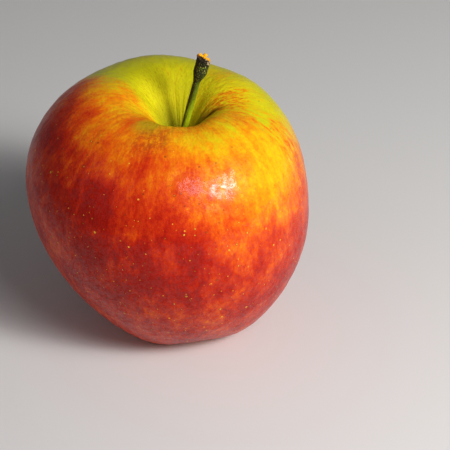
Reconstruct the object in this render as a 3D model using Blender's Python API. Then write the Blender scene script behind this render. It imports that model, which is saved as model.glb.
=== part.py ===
"""A fresh apple, picked and standing on its base: the fruit, its stem and its dried calyx.

Units are metres and +Z is up. The origin is on the surface that the apple stands on, in the middle of
the fruit's width and depth. The fruit is worked out round its core, which stands a little to +X of that.
Azimuth 0 is +X and a quarter turn is +Y; the apple's front is -Y.
"""

import math
import random

import bpy
from mathutils import Vector

# The fruit's main sizes
MEAN_RADIUS = 0.0390
CREST_HEIGHT = 0.0698
EQUATOR_HEIGHT = 0.0394
BASE_RING_RADIUS = 0.0150
CREST_RING_RADIUS = 0.0161
CAVITY_DEPTH = 0.0155
BASIN_DEPTH = 0.0070
CORE_X = 0.0028
CORE_Y = -0.0009

# How far the fruit is from round: first along X, then along Y
RADIUS_SWING = (-0.071, 0.023)
RADIUS_OVAL = (-0.010, -0.010)
CREST_SWING = (-0.0017, 0.0005)
CREST_RING_SWING = (-0.0012, 0.0)
EQUATOR_SWING = (-0.0055, -0.0008)

# Fullness of the side below and above the equator, as shares of each quarter's width or height
FLANK_REACH = 0.402
FLANK_REACH_SWING = (0.091, 0.043)
FLANK_RISE = 0.476
SHOULDER_RISE = 0.552
SHOULDER_RISE_SWING = (0.117, 0.033)
SHOULDER_REACH = 0.551

# The two hollows: shares of their ring's radius and of their depth
BASIN_FLOOR_REACH = 0.50
BASIN_RIM_REACH = 0.55
CAVITY_RIM_REACH = 0.52
CAVITY_THROAT_RADIUS = 0.0042
CAVITY_THROAT_SHARE = 0.66
CAVITY_DRIFT = 0.0006

# Five lobes round the base and, fainter, round the crest
LOBES = 5
LOBE_TURN = math.radians(30)
LOBE_RISE = 0.0016
CREST_LOBE_RISE = 0.0005
FOOT_CUT = 0.0005

# One dip in the crest, at the front and left of the stem
DIP_DEPTH = 0.0013
DIP_AZIMUTH = math.radians(-118)
DIP_WIDTH = math.radians(24)

# Shallow folds that run down the cavity's wall
FOLDS = 7
FOLD_DEPTH = 0.0003
FOLD_TURN = 0.6

# Plain holes that the stem and the calyx stand in
GAP = 0.0003
STEM_ROOT_RADIUS = 0.0015
STEM_SOCKET_DEPTH = 0.0032
CALYX_ROOT_RADIUS = 0.0019
CALYX_SOCKET_DEPTH = 0.0025

# Mesh and finish of the fruit
SEGMENTS = 72
BASIN_STEPS = 7
FLANK_STEPS = 13
SHOULDER_STEPS = 11
CAVITY_STEPS = 9
SKIN_COLOUR = (0.62, 0.16, 0.02)
SKIN_ROUGHNESS = 0.3
SKIN_EDGE = math.radians(50)

# Stem: its path from the socket to the slanted end, round the core, and its thickness along it.
# Pairs are the shares of its length that a change starts and ends at.
STEM_PATH = ((0.0, 0.0), (0.0019, 0.0001), (0.0048, 0.0004), (0.0070, 0.0006))
STEM_TOP_HEIGHT = 0.0802
STEM_SIDES = 18
STEM_STEPS = 24
STEM_WAIST_RADIUS = 0.00094
STEM_KNOB_RADIUS = 0.00178
STEM_KNOB_SHIFT = 0.00028
STEM_ROOT_SPAN = (0.08, 0.28)
STEM_KNOB_SPAN = (0.77, 0.88)
STEM_SLANT = 0.3
STEM_SLANT_SPAN = (0.88, 1.0)
STEM_RIDGES = 3
STEM_RIDGE_TWIST = 5
STEM_RIDGE_SHARE = 0.06
STEM_RIDGE_SPAN = (0.15, 0.4)
STEM_END_RISE = 0.0002
STEM_COLOUR = (0.10, 0.11, 0.03)
STEM_ROUGHNESS = 0.7
STEM_EDGE = math.radians(50)

# Corky lobes of the break: to the right, to the back, lift off the slanted end, and radius
CORK_LOBES = (
    (-0.00110, 0.00102, 0.00018, 0.00048),
    (-0.00158, 0.00040, -0.00002, 0.00040),
    (0.00032, 0.00132, 0.00042, 0.00060),
    (-0.00040, 0.00095, 0.00008, 0.00044),
    (0.00080, 0.00070, 0.00010, 0.00044),
    (0.00125, 0.00072, 0.00014, 0.00046),
    (0.00158, 0.00030, 0.00000, 0.00040),
    (0.00115, -0.00122, -0.00030, 0.00048),
    (0.00010, -0.00145, -0.00020, 0.00036),
    (-0.00090, -0.00115, -0.00018, 0.00038),
    (-0.00152, -0.00040, -0.00014, 0.00036),
)

# Calyx: a short cup with five dried sepals. A sepal's path is its distance from the core and its
# height above the basin's floor.
SEPALS = 5
SEPAL_STEPS = 9
SEPAL_WIDTH = 0.0030
SEPAL_WIDTH_SHARES = (0.9, 1.1)
SEPAL_THICKNESS = 0.0008
SEPAL_TURN = math.radians(9)
SEPAL_PATH = ((0.0013, 0.0012), (0.0016, -0.0040), (0.0022, -0.0056), (0.0050, -0.0036))
SEPAL_LEANS = (-0.0003, 0.0008)
SEPAL_TAPER = 1.6
SEPAL_HOLLOW = 0.25
CUP_HEIGHT = 0.0032
CUP_WALL = 0.0007
CUP_SIDES = 30
CALYX_SEED = 3
CALYX_COLOUR = (0.12, 0.07, 0.035)
CALYX_ROUGHNESS = 0.85
CALYX_EDGE = math.radians(40)

# How far ahead on a path its direction is taken
STEM_AHEAD = 0.01
SEPAL_AHEAD = 0.02


def clear_scene():
    for thing in list(bpy.data.objects):
        bpy.data.objects.remove(thing)


def swing(azimuth, along):
    """A one-sided change: the share along X and along Y that an azimuth gets."""
    return along[0] * math.cos(azimuth) + along[1] * math.sin(azimuth)


def smooth_step(value, low, high):
    share = min(max((value - low) / (high - low), 0.0), 1.0)
    return share * share * (3 - 2 * share)


def bezier(points, t):
    """A point of the cubic curve with these four control points."""
    shares = ((1 - t) ** 3, 3 * (1 - t) ** 2 * t, 3 * (1 - t) * t ** 2, t ** 3)
    return tuple(
        sum(share * point[k] for share, point in zip(shares, points))
        for k in range(len(points[0]))
    )


def fruit_profile(azimuth):
    """Radius, height and drift to +X of the skin at one azimuth, from the calyx hole to the stem hole."""
    oval = RADIUS_OVAL[0] * math.cos(2 * azimuth) + RADIUS_OVAL[1] * math.sin(2 * azimuth)
    side = MEAN_RADIUS * (1 + swing(azimuth, RADIUS_SWING) + oval)
    lobe = math.cos(LOBES * (azimuth - LOBE_TURN))
    crest = CREST_HEIGHT + swing(azimuth, CREST_SWING) + CREST_LOBE_RISE * lobe
    crest -= DIP_DEPTH * math.exp(-(math.remainder(azimuth - DIP_AZIMUTH, math.tau) / DIP_WIDTH) ** 2)
    crest_ring = CREST_RING_RADIUS + swing(azimuth, CREST_RING_SWING)
    equator = EQUATOR_HEIGHT + swing(azimuth, EQUATOR_SWING)
    flank_reach = FLANK_REACH + swing(azimuth, FLANK_REACH_SWING)
    shoulder_rise = SHOULDER_RISE + swing(azimuth, SHOULDER_RISE_SWING)
    fold = math.cos(FOLDS * azimuth + FOLD_TURN)
    foot_rise = LOBE_RISE * (1 - lobe) / 2
    calyx_hole = CALYX_ROOT_RADIUS + GAP
    stem_hole = STEM_ROOT_RADIUS + GAP
    cavity_floor = CREST_HEIGHT - CAVITY_DEPTH

    basin = (
        (calyx_hole, BASIN_DEPTH),
        (BASE_RING_RADIUS * BASIN_FLOOR_REACH, BASIN_DEPTH),
        (BASE_RING_RADIUS * BASIN_RIM_REACH, 0.0),
        (BASE_RING_RADIUS, 0.0),
    )
    flank = (
        (BASE_RING_RADIUS, 0.0),
        (BASE_RING_RADIUS + (side - BASE_RING_RADIUS) * flank_reach, 0.0),
        (side, equator * (1 - FLANK_RISE)),
        (side, equator),
    )
    shoulder = (
        (side, equator),
        (side, equator + (crest - equator) * shoulder_rise),
        (crest_ring + (side - crest_ring) * SHOULDER_REACH, crest),
        (crest_ring, crest),
    )
    cavity = (
        (crest_ring, crest),
        (crest_ring * CAVITY_RIM_REACH, crest),
        (CAVITY_THROAT_RADIUS, crest - (crest - cavity_floor) * CAVITY_THROAT_SHARE),
        (stem_hole, cavity_floor),
    )

    points = [(calyx_hole, BASIN_DEPTH + CALYX_SOCKET_DEPTH, 0.0)]
    for step in range(BASIN_STEPS):
        share = step / BASIN_STEPS
        radius, height = bezier(basin, share)
        points.append((radius, height + foot_rise * share * (2 - share), 0.0))
    for step in range(FLANK_STEPS):
        share = step / FLANK_STEPS
        radius, height = bezier(flank, share)
        points.append((radius, height + foot_rise * (1 - share * share) ** 2, 0.0))
    for step in range(SHOULDER_STEPS):
        points.append((*bezier(shoulder, step / SHOULDER_STEPS), 0.0))
    for step in range(CAVITY_STEPS + 1):
        share = step / CAVITY_STEPS
        radius, height = bezier(cavity, share)
        wall = radius + FOLD_DEPTH * fold * math.sin(math.pi * share) ** 2
        points.append((wall, height, CAVITY_DRIFT * smooth_step(share, 0.0, 1.0)))
    points.append((stem_hole, cavity_floor - STEM_SOCKET_DEPTH, 0.0))
    return points


def solid_from_rings(name, start, rings, end):
    """A closed mesh through rings of points, with a fan to a centre point at each end."""
    count = len(rings[0])
    vertices = [start] + [point for ring in rings for point in ring] + [end]
    last = len(vertices) - 1
    faces = []
    for j in range(count):
        beside = (j + 1) % count
        faces.append((0, 1 + beside, 1 + j))
        for i in range(len(rings) - 1):
            low = 1 + i * count
            high = low + count
            faces.append((low + j, low + beside, high + beside, high + j))
        faces.append((last - count + j, last - count + beside, last))
    mesh = bpy.data.meshes.new(name)
    mesh.from_pydata(vertices, [], faces)
    mesh.update()
    solid = bpy.data.objects.new(name, mesh)
    bpy.context.scene.collection.objects.link(solid)
    return solid


def finish_piece(piece, colour, roughness, sharp_angle):
    """Shade the piece smooth and give it its own material."""
    piece.data.shade_smooth()
    piece.data.set_sharp_from_angle(angle=sharp_angle)
    material = bpy.data.materials.new(piece.name)
    material.use_nodes = True
    shader = material.node_tree.nodes["Principled BSDF"]
    shader.inputs["Base Color"].default_value = (*colour, 1.0)
    shader.inputs["Roughness"].default_value = roughness
    shader.inputs["Metallic"].default_value = 0.0
    piece.data.materials.clear()
    piece.data.materials.append(material)


def fuse(body, additions):
    """Join the additions to the body as one closed mesh, and remove them."""
    group = bpy.data.collections.new(body.name + "_additions")
    bpy.context.scene.collection.children.link(group)
    for piece in additions:
        for holder in piece.users_collection:
            holder.objects.unlink(piece)
        group.objects.link(piece)
    union = body.modifiers.new("union", "BOOLEAN")
    union.operation = "UNION"
    union.operand_type = "COLLECTION"
    union.collection = group
    depsgraph = bpy.context.evaluated_depsgraph_get()
    joined = bpy.data.meshes.new_from_object(body.evaluated_get(depsgraph))
    body.modifiers.clear()
    body.data = joined
    for piece in list(group.objects):
        bpy.data.objects.remove(piece)
    bpy.data.collections.remove(group)


def make_fruit():
    """The whole fruit in one skin: basin, flank, shoulder and cavity, with a foot cut flat on each lobe."""
    azimuths = [math.tau * j / SEGMENTS for j in range(SEGMENTS)]
    profiles = [fruit_profile(azimuth) for azimuth in azimuths]
    rings = []
    for i in range(len(profiles[0])):
        ring = []
        for azimuth, profile in zip(azimuths, profiles):
            radius, height, drift = profile[i]
            height = max(height - FOOT_CUT, 0.0)
            across = CORE_X + drift + radius * math.cos(azimuth)
            ring.append((across, CORE_Y + radius * math.sin(azimuth), height))
        rings.append(ring)
    start = (CORE_X, CORE_Y, rings[0][0][2])
    end = (CORE_X, CORE_Y, rings[-1][0][2])
    fruit = solid_from_rings("fruit", start, rings, end)
    finish_piece(fruit, SKIN_COLOUR, SKIN_ROUGHNESS, SKIN_EDGE)


def make_stem():
    """A swept, slightly curved stalk, widest at its root and at its knob, with the lobes of the break."""
    foot = CREST_HEIGHT - CAVITY_DEPTH - FOOT_CUT - STEM_SOCKET_DEPTH + GAP
    rise = STEM_TOP_HEIGHT - foot
    path = [
        Vector((CORE_X + x, CORE_Y + y, foot + rise * k / 3))
        for k, (x, y) in enumerate(STEM_PATH)
    ]
    rings = []
    for step in range(STEM_STEPS + 1):
        share = step / STEM_STEPS
        centre = Vector(bezier(path, share))
        ahead = Vector(bezier(path, share + STEM_AHEAD))
        along = (ahead - centre).normalized()
        right = (Vector((1, 0, 0)) - along * along.x).normalized()
        back = along.cross(right)
        root = 1 - smooth_step(share, *STEM_ROOT_SPAN)
        knob = smooth_step(share, *STEM_KNOB_SPAN)
        radius = STEM_WAIST_RADIUS + (STEM_ROOT_RADIUS - STEM_WAIST_RADIUS) * root
        radius += (STEM_KNOB_RADIUS - STEM_WAIST_RADIUS) * knob
        centre += right * STEM_KNOB_SHIFT * knob
        slant = STEM_SLANT * smooth_step(share, *STEM_SLANT_SPAN)
        ridged = STEM_RIDGE_SHARE * smooth_step(share, *STEM_RIDGE_SPAN)
        ring = []
        for j in range(STEM_SIDES):
            turn = math.tau * j / STEM_SIDES
            across = math.cos(turn) * right + math.sin(turn) * back
            wave = 1 + ridged * math.cos(STEM_RIDGES * turn + STEM_RIDGE_TWIST * share)
            drop = slant * radius * math.cos(turn)
            ring.append(centre + across * radius * wave - along * drop)
        rings.append(ring)
    stem = solid_from_rings("stem", path[0], rings, centre + along * STEM_END_RISE)

    lobes = []
    for to_right, to_back, lift, size in CORK_LOBES:
        rise = lift - STEM_SLANT * to_right
        place = centre + right * to_right + back * to_back + along * rise
        bpy.ops.mesh.primitive_ico_sphere_add(subdivisions=2, radius=size, location=place)
        lobes.append(bpy.context.object)
    fuse(stem, lobes)
    finish_piece(stem, STEM_COLOUR, STEM_ROUGHNESS, STEM_EDGE)


def make_sepal(azimuth, width, lean):
    """One dried sepal: a pointed blade that drops from the cup and curls outwards at its tip."""
    leans = (0, 0, lean, lean)
    path = [
        (radius + shift, BASIN_DEPTH - FOOT_CUT + height)
        for (radius, height), shift in zip(SEPAL_PATH, leans)
    ]
    outward = Vector((math.cos(azimuth), math.sin(azimuth), 0))
    sideways = Vector((-math.sin(azimuth), math.cos(azimuth), 0))
    up = Vector((0, 0, 1))
    core = Vector((CORE_X, CORE_Y, 0))
    rings = []
    for step in range(SEPAL_STEPS):
        share = step / SEPAL_STEPS
        radius, height = bezier(path, share)
        next_radius, next_height = bezier(path, share + SEPAL_AHEAD)
        along = (outward * (next_radius - radius) + up * (next_height - height)).normalized()
        normal = sideways.cross(along)
        half = width / 2 * (1 - share ** SEPAL_TAPER)
        centre = core + outward * radius + up * height
        cup = SEPAL_HOLLOW * half
        rings.append([
            centre + sideways * half,
            centre + normal * (SEPAL_THICKNESS / 2 - cup),
            centre - sideways * half,
            centre - normal * (SEPAL_THICKNESS / 2 + cup),
        ])
    start = sum(rings[0], Vector()) / len(rings[0])
    tip_radius, tip_height = bezier(path, 1.0)
    tip = core + outward * tip_radius + up * tip_height
    return solid_from_rings("sepal", start, rings, tip)


def make_calyx():
    """The cup of the old blossom, open below, with its five sepals fused to it."""
    top = BASIN_DEPTH - FOOT_CUT + CALYX_SOCKET_DEPTH - GAP
    mouth = top - CUP_HEIGHT
    inner = CALYX_ROOT_RADIUS - CUP_WALL
    core = Vector((CORE_X, CORE_Y, 0))
    profile = (
        (inner, top - CUP_WALL),
        (inner, mouth),
        (CALYX_ROOT_RADIUS, mouth),
        (CALYX_ROOT_RADIUS, top),
    )
    turns = [math.tau * j / CUP_SIDES for j in range(CUP_SIDES)]
    rings = [
        [core + Vector((radius * math.cos(turn), radius * math.sin(turn), height)) for turn in turns]
        for radius, height in profile
    ]
    start = core + Vector((0, 0, profile[0][1]))
    end = core + Vector((0, 0, top))
    cup = solid_from_rings("calyx", start, rings, end)
    draw = random.Random(CALYX_SEED)
    sepals = []
    for k in range(SEPALS):
        azimuth = SEPAL_TURN + math.tau * k / SEPALS
        width = SEPAL_WIDTH * draw.uniform(*SEPAL_WIDTH_SHARES)
        sepals.append(make_sepal(azimuth, width, draw.uniform(*SEPAL_LEANS)))
    fuse(cup, sepals)
    finish_piece(cup, CALYX_COLOUR, CALYX_ROUGHNESS, CALYX_EDGE)


clear_scene()
make_fruit()
make_stem()
make_calyx()
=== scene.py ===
"""The looks of one fresh apple: its blushed skin, its stalk with the corky break, and its dried calyx."""
import math
import random

import bmesh
import bpy
from mathutils import Matrix, Vector, noise


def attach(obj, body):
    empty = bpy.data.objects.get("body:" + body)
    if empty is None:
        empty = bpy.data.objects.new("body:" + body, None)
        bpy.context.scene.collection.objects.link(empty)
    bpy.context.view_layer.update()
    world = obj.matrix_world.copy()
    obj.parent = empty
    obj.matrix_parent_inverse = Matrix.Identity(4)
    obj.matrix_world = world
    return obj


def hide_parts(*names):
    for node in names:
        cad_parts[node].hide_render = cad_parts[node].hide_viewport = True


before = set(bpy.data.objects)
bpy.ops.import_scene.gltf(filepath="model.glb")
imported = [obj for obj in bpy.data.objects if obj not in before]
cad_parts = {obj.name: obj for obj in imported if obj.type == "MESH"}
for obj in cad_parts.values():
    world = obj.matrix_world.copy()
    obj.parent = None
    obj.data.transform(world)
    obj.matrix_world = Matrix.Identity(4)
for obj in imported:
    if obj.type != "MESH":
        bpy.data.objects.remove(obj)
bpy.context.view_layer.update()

# The fruit
# One piece of flesh in a thin waxy skin, grown round its core: yellow where leaves shaded it, blushed red
# where the sun reached it, in short streaks along its meridians, with small pale breathing spots.
CORE = Vector((0.0028, -0.0009, 0.0))
MEAN_RADIUS = 0.0390
CREST_HEIGHT = 0.0698
EQUATOR_HEIGHT = 0.0394
BASE_RING_RADIUS = 0.0150
CREST_RING_RADIUS = 0.0161
CAVITY_DEPTH = 0.0155
BASIN_DEPTH = 0.0070
RADIUS_SWING = (-0.071, 0.023)
RADIUS_OVAL = (-0.010, -0.010)
CREST_SWING = (-0.0017, 0.0005)
CREST_RING_SWING = (-0.0012, 0.0)
EQUATOR_SWING = (-0.0055, -0.0008)
FLANK_REACH = 0.402
FLANK_REACH_SWING = (0.091, 0.043)
FLANK_RISE = 0.476
SHOULDER_RISE = 0.552
SHOULDER_RISE_SWING = (0.117, 0.033)
SHOULDER_REACH = 0.551
BASIN_FLOOR_REACH = 0.50
BASIN_RIM_REACH = 0.55
CAVITY_RIM_REACH = 0.52
CAVITY_THROAT_RADIUS = 0.0042
CAVITY_THROAT_SHARE = 0.66
CAVITY_DRIFT = 0.0006
LOBES = 5
LOBE_TURN = math.radians(30)
LOBE_RISE = 0.0016
CREST_LOBE_RISE = 0.0005
FOOT_CUT = 0.0005
DIP_DEPTH = 0.0013
DIP_AZIMUTH = math.radians(-118)
DIP_WIDTH = math.radians(24)
FOLDS = 7
FOLD_DEPTH = 0.0003
FOLD_TURN = 0.6
STEM_HOLE = 0.00160
STEM_SOCKET_DEPTH = 0.0032
CALYX_HOLE = 0.0020
CALYX_SOCKET_DEPTH = 0.0025
SHARP_ANGLE = math.radians(50)
SKIN_SEGMENTS = 380
BASIN_STEPS = 40
FLANK_STEPS = 76
SHOULDER_STEPS = 66
CAVITY_STEPS = 56
WAVE_HEIGHT = 0.00022
RIPPLE_HEIGHT = 0.00010
RIPPLE_SIZE = 0.0027
FINE_RIPPLE_SHARE = 0.22
FINE_RIPPLE_RATE = 2.3
PLEAT_HEIGHT = 0.00020
FINE_PLEAT_SHARE = 0.5
CREASE_DEPTH = 0.00035
CREASE_AZIMUTH = math.radians(-2)
CREASE_SPREAD = 0.0022
CENTIMETRES = 100

# How fast a pattern of the relief changes round the core and along the skin, and its shift along
WAVE_RATES = (1.9, 50, 0)
PLEAT_RATES = (8, 45, 7)
FINE_PLEAT_RATES = (17, 70, 3)

# Where a part of the relief is absent and where it is full, in metres from the sockets along the skin
CALYX_CLEAR_SPAN = (0.003, 0.009)
STEM_CLEAR_SPAN = (0.004, 0.009)
WAVE_SPAN = (0.006, 0.020)
BASIN_SPAN = (0.018, 0.008)
CAVITY_SPAN = (0.026, 0.013)
CREASE_SPAN = (0.026, 0.017)


def swing(azimuth, along):
    """A one-sided change: the share along X and along Y that an azimuth gets."""
    return along[0] * math.cos(azimuth) + along[1] * math.sin(azimuth)


def smooth_step(value, low, high):
    """0 at low, 1 at high and smooth between them. Low may be the larger of the two."""
    share = min(max((value - low) / (high - low), 0.0), 1.0)
    return share * share * (3 - 2 * share)


def bezier(points, t):
    """A point of the cubic curve with these four control points."""
    shares = ((1 - t) ** 3, 3 * (1 - t) ** 2 * t, 3 * (1 - t) * t ** 2, t ** 3)
    return [sum(share * point[k] for share, point in zip(shares, points)) for k in range(len(points[0]))]


def fruit_profile(azimuth):
    """Radius, height and drift to +X of the skin at one azimuth, from the calyx hole to the stem hole."""
    oval = RADIUS_OVAL[0] * math.cos(2 * azimuth) + RADIUS_OVAL[1] * math.sin(2 * azimuth)
    side = MEAN_RADIUS * (1 + swing(azimuth, RADIUS_SWING) + oval)
    lobe = math.cos(LOBES * (azimuth - LOBE_TURN))
    crest = CREST_HEIGHT + swing(azimuth, CREST_SWING) + CREST_LOBE_RISE * lobe
    crest -= DIP_DEPTH * math.exp(-(math.remainder(azimuth - DIP_AZIMUTH, math.tau) / DIP_WIDTH) ** 2)
    crest_ring = CREST_RING_RADIUS + swing(azimuth, CREST_RING_SWING)
    equator = EQUATOR_HEIGHT + swing(azimuth, EQUATOR_SWING)
    flank_reach = FLANK_REACH + swing(azimuth, FLANK_REACH_SWING)
    shoulder_rise = SHOULDER_RISE + swing(azimuth, SHOULDER_RISE_SWING)
    fold = math.cos(FOLDS * azimuth + FOLD_TURN)
    foot_rise = LOBE_RISE * (1 - lobe) / 2
    cavity_floor = CREST_HEIGHT - CAVITY_DEPTH
    basin = (
        (CALYX_HOLE, BASIN_DEPTH),
        (BASE_RING_RADIUS * BASIN_FLOOR_REACH, BASIN_DEPTH),
        (BASE_RING_RADIUS * BASIN_RIM_REACH, 0.0),
        (BASE_RING_RADIUS, 0.0),
    )
    flank = (
        (BASE_RING_RADIUS, 0.0),
        (BASE_RING_RADIUS + (side - BASE_RING_RADIUS) * flank_reach, 0.0),
        (side, equator * (1 - FLANK_RISE)),
        (side, equator),
    )
    shoulder = (
        (side, equator),
        (side, equator + (crest - equator) * shoulder_rise),
        (crest_ring + (side - crest_ring) * SHOULDER_REACH, crest),
        (crest_ring, crest),
    )
    cavity = (
        (crest_ring, crest),
        (crest_ring * CAVITY_RIM_REACH, crest),
        (CAVITY_THROAT_RADIUS, crest - (crest - cavity_floor) * CAVITY_THROAT_SHARE),
        (STEM_HOLE, cavity_floor),
    )
    points = [(CALYX_HOLE, BASIN_DEPTH + CALYX_SOCKET_DEPTH, 0.0)]
    for step in range(BASIN_STEPS):
        share = step / BASIN_STEPS
        radius, height = bezier(basin, share)
        points.append((radius, height + foot_rise * share * (2 - share), 0.0))
    for step in range(FLANK_STEPS):
        share = step / FLANK_STEPS
        radius, height = bezier(flank, share)
        points.append((radius, height + foot_rise * (1 - share * share) ** 2, 0.0))
    for step in range(SHOULDER_STEPS):
        points.append((*bezier(shoulder, step / SHOULDER_STEPS), 0.0))
    for step in range(CAVITY_STEPS + 1):
        share = step / CAVITY_STEPS
        radius, height = bezier(cavity, share)
        wall = radius + FOLD_DEPTH * fold * math.sin(math.pi * share) ** 2
        points.append((wall, height, CAVITY_DRIFT * smooth_step(share, 0.0, 1.0)))
    points.append((STEM_HOLE, cavity_floor - STEM_SOCKET_DEPTH, 0.0))
    return points


def pattern_place(around, along, rates):
    """Where to read a pattern of noise for a point this way round an axis and this far along it."""
    across, lengthways, shift = rates
    return Vector((around[0] * across, around[1] * across, along * lengthways + shift))


def skin_relief(around, arc, last):
    """How far the skin stands out of its main form: waves, pleats in both hollows, and a crease."""
    from_stem = last - arc
    clear = smooth_step(arc, *CALYX_CLEAR_SPAN) * smooth_step(from_stem, *STEM_CLEAR_SPAN)
    in_cavity = smooth_step(from_stem, *CAVITY_SPAN)
    in_basin = smooth_step(arc, *BASIN_SPAN)
    wide = smooth_step(arc, *WAVE_SPAN)
    broad = noise.noise(pattern_place(around, arc, WAVE_RATES))
    ripple_place = Vector((around[0] * MEAN_RADIUS, around[1] * MEAN_RADIUS, arc)) / RIPPLE_SIZE
    ripple = noise.noise(ripple_place) + FINE_RIPPLE_SHARE * noise.noise(ripple_place * FINE_RIPPLE_RATE)
    pleats = noise.noise(pattern_place(around, arc, PLEAT_RATES))
    pleats += FINE_PLEAT_SHARE * noise.noise(pattern_place(around, arc, FINE_PLEAT_RATES))
    off_crease = 1 - around[0] * math.cos(CREASE_AZIMUTH) - around[1] * math.sin(CREASE_AZIMUTH)
    crease = math.exp(-off_crease / CREASE_SPREAD) * smooth_step(from_stem, *CREASE_SPAN)
    waves = WAVE_HEIGHT * broad * wide + RIPPLE_HEIGHT * ripple * wide * (1 - in_cavity)
    folds = PLEAT_HEIGHT * pleats * (in_cavity + in_basin)
    return clear * (waves + folds - CREASE_DEPTH * crease)


def placed(name, data):
    """A new object in the scene that shows this mesh, lamp or camera."""
    thing = bpy.data.objects.new(name, data)
    bpy.context.scene.collection.objects.link(thing)
    return thing


def solid_from_rings(name, start, rings, end):
    """A closed mesh through rings of points, with a fan to a centre point at each end."""
    count = len(rings[0])
    points = [start] + [point for ring in rings for point in ring] + [end]
    last = len(points) - 1
    faces = []
    for j in range(count):
        beside = (j + 1) % count
        faces.append((0, 1 + beside, 1 + j))
        for i in range(len(rings) - 1):
            low = 1 + i * count
            high = low + count
            faces.append((low + j, low + beside, high + beside, high + j))
        faces.append((last - count + j, last - count + beside, last))
    mesh = bpy.data.meshes.new(name)
    mesh.from_pydata(points, [], faces)
    mesh.shade_smooth()
    return placed(name, mesh)


def mark_points(solid, name, values):
    """Keep a vector for each of the mesh's points, for its material to read."""
    kept = solid.data.attributes.new(name, "FLOAT_VECTOR", "POINT")
    kept.data.foreach_set("vector", [number for value in values for number in value])


def with_ends(rings):
    """What rings of points keep, in one row, with that of the centre point at each end."""
    return [rings[0][0], *(value for ring in rings for value in ring), rings[-1][0]]


rings = [[] for _ in fruit_profile(0.0)]
places = [[] for _ in rings]
depths = [[] for _ in rings]
for j in range(SKIN_SEGMENTS):
    azimuth = math.tau * j / SKIN_SEGMENTS
    around = (math.cos(azimuth), math.sin(azimuth))
    profile = fruit_profile(azimuth)
    arcs = [0.0]
    for near, far in zip(profile, profile[1:]):
        arcs.append(arcs[-1] + math.dist(near[:2], far[:2]))
    for i, (radius, height, drift) in enumerate(profile):
        before = profile[max(i - 1, 0)]
        after = profile[min(i + 1, len(profile) - 1)]
        run = (after[0] - before[0], after[1] - before[1])
        relief = skin_relief(around, arcs[i], arcs[-1]) / math.hypot(*run)
        radius += relief * run[1]
        height = max(height - relief * run[0] - FOOT_CUT, 0.0)
        rings[i].append(CORE + Vector((drift + radius * around[0], radius * around[1], height)))
        places[i].append((*around, arcs[i] * CENTIMETRES))
        depths[i].append(((arcs[-1] - arcs[i]) * CENTIMETRES, 0, 0))

bottom = Vector((CORE.x, CORE.y, rings[0][0].z))
top = Vector((CORE.x, CORE.y, rings[-1][0].z))
skin = solid_from_rings("fruit_skin", bottom, rings, top)
skin.data.set_sharp_from_angle(angle=SHARP_ANGLE)
mark_points(skin, "skin_place", with_ends(places))
mark_points(skin, "skin_depth", with_ends(depths))


class Wire:
    """One socket of a material's nodes. Arithmetic on wires adds Math nodes to the same material."""

    def __init__(self, tree, socket=None):
        self.tree = tree
        self.socket = socket

    def add(self, kind, settings=(), sockets=(), out=0):
        """A new node: its settings first, then the values or wires of its sockets."""
        node = self.tree.nodes.new(kind)
        for name, value in dict(settings).items():
            if name == "stops":
                ends = node.color_ramp.elements
                ends[0].position, ends[1].position = value[0][0], value[-1][0]
                ends[0].color, ends[1].color = (*value[0][1], 1), (*value[-1][1], 1)
                for stop, colour in value[1:-1]:
                    node.color_ramp.elements.new(stop).color = (*colour, 1)
            else:
                setattr(node, name, value)
        for name, value in dict(sockets).items():
            if isinstance(value, Wire):
                self.tree.links.new(value.socket, node.inputs[name])
            else:
                node.inputs[name].default_value = value
        return Wire(self.tree, node.outputs[out])

    def maths(self, operation, *values):
        return self.add("ShaderNodeMath", {"operation": operation}, dict(enumerate(values)))

    def __add__(self, other):
        return self.maths("ADD", self, other)

    def __radd__(self, other):
        return self.maths("ADD", other, self)

    def __sub__(self, other):
        return self.maths("SUBTRACT", self, other)

    def __rsub__(self, other):
        return self.maths("SUBTRACT", other, self)

    def __mul__(self, other):
        return self.maths("MULTIPLY", self, other)

    def __rmul__(self, other):
        return self.maths("MULTIPLY", other, self)

    def __truediv__(self, other):
        return self.maths("DIVIDE", self, other)

    def between(self, low, high):
        """0 below low, 1 above high and smooth between them; where low is the larger, the other way."""
        if low > high:
            return 1 - self.between(high, low)
        settings = {"interpolation_type": "SMOOTHSTEP"}
        return self.add("ShaderNodeMapRange", settings, {"Value": self, 1: low, 2: high})

    def within(self, low, rise, fall, high):
        """1 from rise to fall, 0 outside low and high, and smooth between them."""
        return self.between(low, rise) * self.between(high, fall)

    def kept(self):
        """The same wire, held between 0 and 1."""
        return self.add("ShaderNodeClamp", (), {"Value": self})

    def colour_mix(self, first, second, blend="MIX"):
        """The first colour where this wire is 0, and the second where it is 1."""
        first = first if isinstance(first, Wire) else (*first, 1)
        second = second if isinstance(second, Wire) else (*second, 1)
        settings = {"data_type": "RGBA", "blend_type": blend}
        return self.add("ShaderNodeMix", settings, {0: self, 6: first, 7: second}, out=2)

    def ramp(self, stops):
        """The colour that these stops have at this wire's number."""
        return self.add("ShaderNodeValToRGB", {"stops": stops}, {0: self})

    def parts(self):
        """The three numbers of this vector."""
        node = self.add("ShaderNodeSeparateXYZ", (), {0: self}).socket.node
        return [Wire(self.tree, output) for output in node.outputs]


def new_finish(name):
    """A material with its shader, a wire to start from, and where each point is, in metres."""
    material = bpy.data.materials.new(name)
    material.use_nodes = True
    start = Wire(material.node_tree)
    shader = material.node_tree.nodes["Principled BSDF"]
    return material, shader, start, start.add("ShaderNodeTexCoord", out=3)


def grain(start, where, size, detail=2.0, roughness=0.5):
    """Noise from 0 to 1, mostly near 0.5, whose lumps have this size in the units of where."""
    sockets = {"Vector": where, "Scale": 1 / size, "Detail": detail, "Roughness": roughness}
    return start.add("ShaderNodeTexNoise", (), sockets)


def point_marks(start, name):
    """The three numbers that a mesh's points keep under this name."""
    return start.add("ShaderNodeAttribute", {"attribute_name": name}, out=1).parts()


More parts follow.
